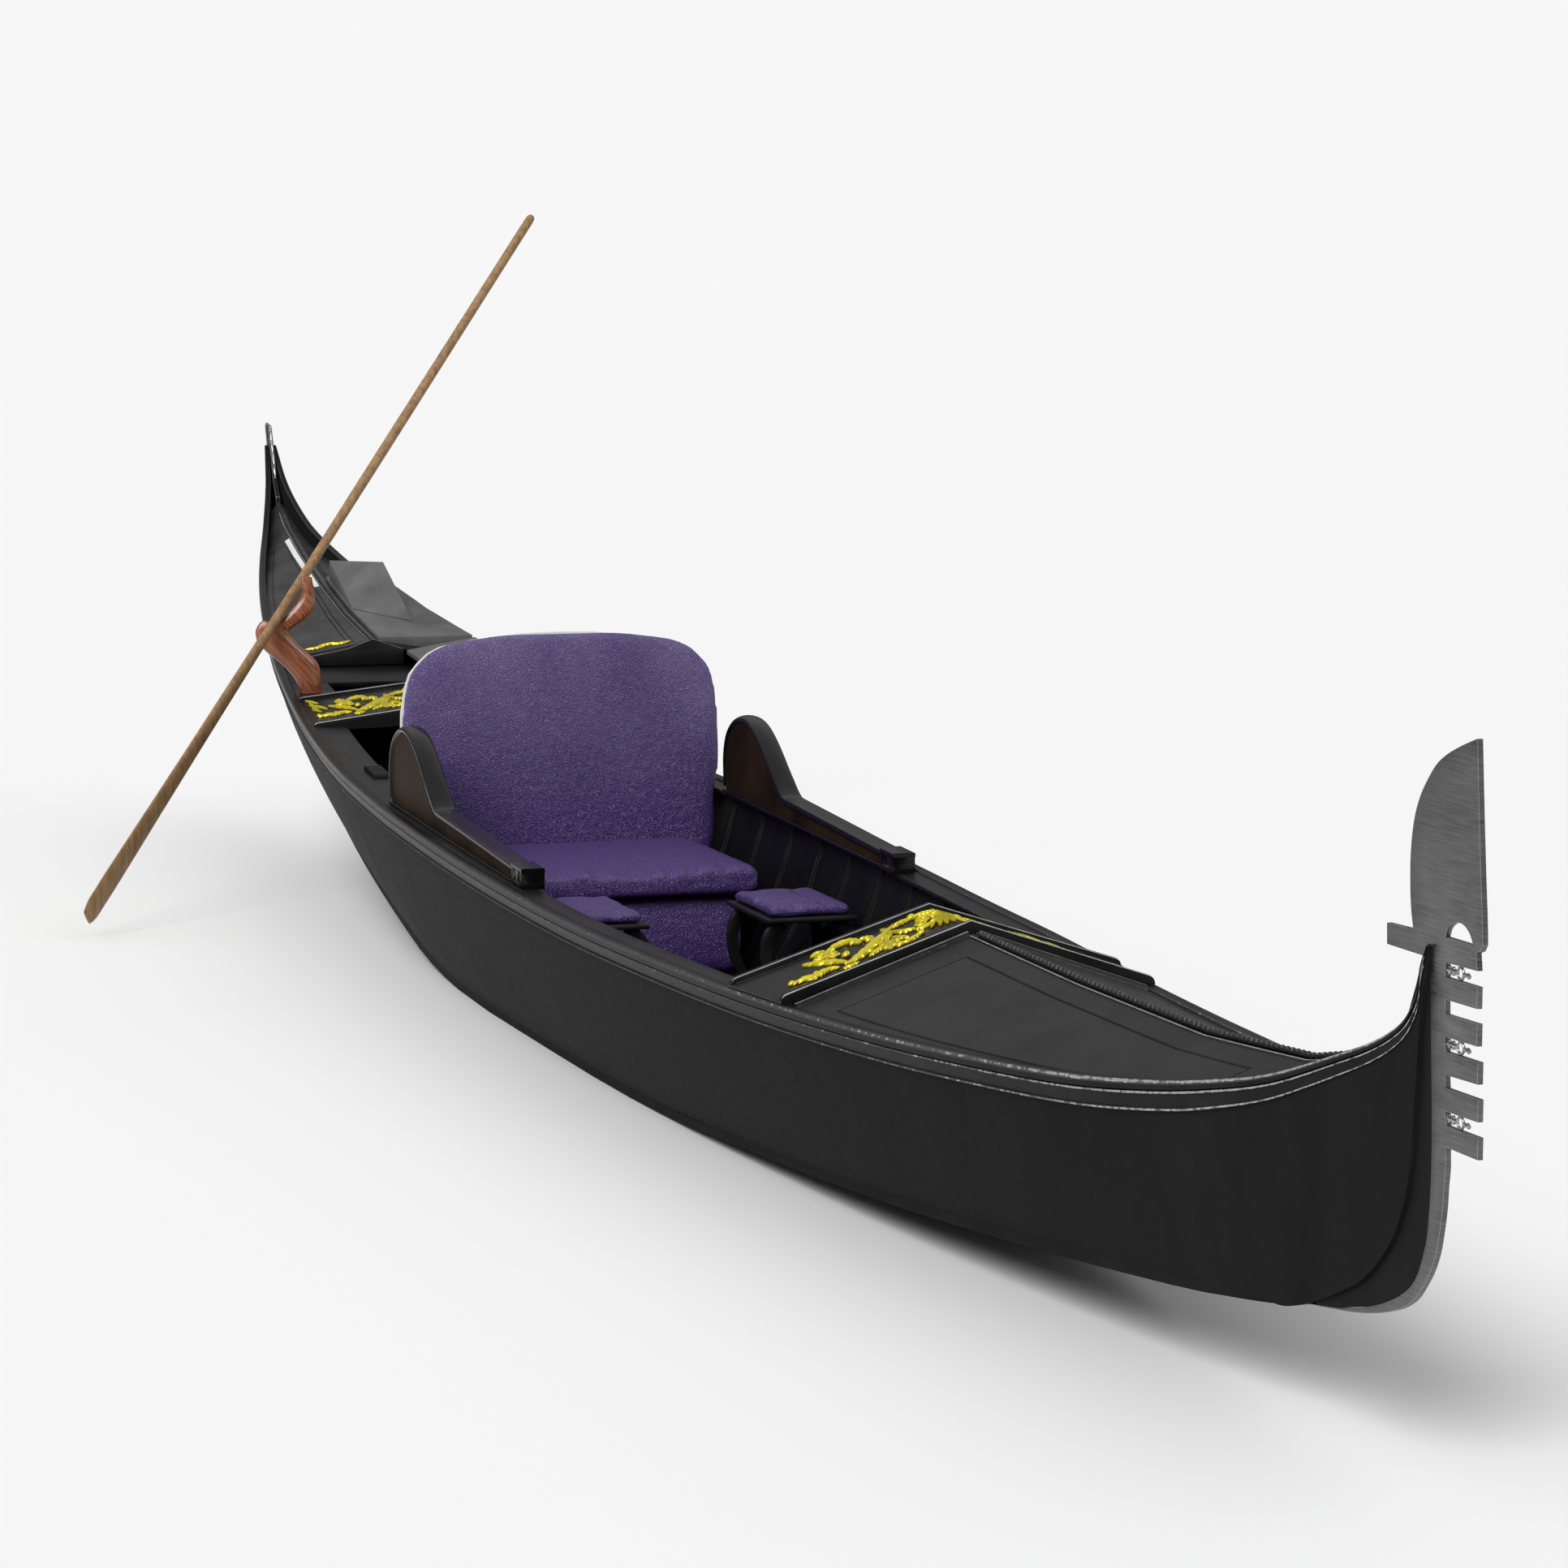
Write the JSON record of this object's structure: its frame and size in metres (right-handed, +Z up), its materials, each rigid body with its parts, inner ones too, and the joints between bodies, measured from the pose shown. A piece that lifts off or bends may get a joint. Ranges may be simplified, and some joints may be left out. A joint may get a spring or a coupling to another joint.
{
  "type": "rowed Venetian gondola",
  "caption": "Long black flat-bottomed canal boat with a raised toothed bow iron, curled stern, purple seat and stools, gilt carving, carved rowlock and one oar.",
  "frame": {"origin": "on the underside of the flat bottom, amidships on the centreline", "axes": "+X to the bow, +Y to port, +Z up"},
  "size_m": [10.973, 2.2831, 2.5022],
  "materials": {
    "hull_black": "satin",
    "deck_black": "satin",
    "worn_rail": "worn satin",
    "bow_steel": "brushed",
    "bright_metal": "polished",
    "gilding": "bright gilt",
    "purple_leather": "soft satin",
    "pale_edge": "satin",
    "rowlock_walnut": "oiled",
    "oar_wood": "satin",
    "grey_covering": "matte"
  },
  "bodies": {
    "boat": {"hull_side_starboard": "hull_black", "hull_side_port": "hull_black", "hull_bottom_aft": "hull_black", "hull_bottom_middle": "hull_black", "hull_bottom_fore": "hull_black", "gunwale_rail_starboard": "worn_rail", "gunwale_rail_port": "worn_rail", "rub_band_starboard": "hull_black", "rub_band_port": "hull_black", "bow_stem": "hull_black", "bow_iron": "bow_steel", "bow_iron_ornament_1": "bright_metal", "bow_iron_ornament_2": "bright_metal", "bow_iron_ornament_3": "bright_metal", "stern_post": "hull_black", "stern_iron": "bright_metal", "foredeck_starboard": "deck_black", "foredeck_port": "deck_black", "foredeck_ridge_trim": "deck_black", "front_crossbeam": "hull_black", "front_carving_starboard": "gilding", "front_carving_port": "gilding", "side_capping_starboard": "deck_black", "side_capping_port": "deck_black", "side_lining_starboard": "hull_black", "side_lining_port": "hull_black", "floor_boards": "hull_black", "seat_base": "purple_leather", "seat_cushion": "purple_leather", "seat_backrest": "purple_leather", "backrest_shell": "pale_edge", "armrest_starboard": "hull_black", "armrest_port": "hull_black", "stool_frame_starboard": "hull_black", "stool_frame_port": "hull_black", "stool_cushion_starboard": "purple_leather", "stool_cushion_port": "purple_leather", "rear_crossbeam": "hull_black", "rear_carving_starboard": "gilding", "rear_carving_port": "gilding", "quarter_deck_starboard": "deck_black", "quarter_deck_port": "deck_black", "aft_thwart": "hull_black", "aft_bulkhead": "hull_black", "stern_deck_starboard": "deck_black", "stern_deck_port": "deck_black", "rowing_platform": "grey_covering", "side_platform": "grey_covering", "foot_wedge": "grey_covering", "rowlock": "rowlock_walnut"},
    "oar": {"oar": "oar_wood"}
  },
  "joints": [
    {"name": "oar_sweep", "type": "hinge", "parent": "boat", "child": "oar", "pos_m": [-2.97, -0.4518, 1.0441], "axis": [0, 0, 1], "range_deg": [-10, 15]}
  ]
}
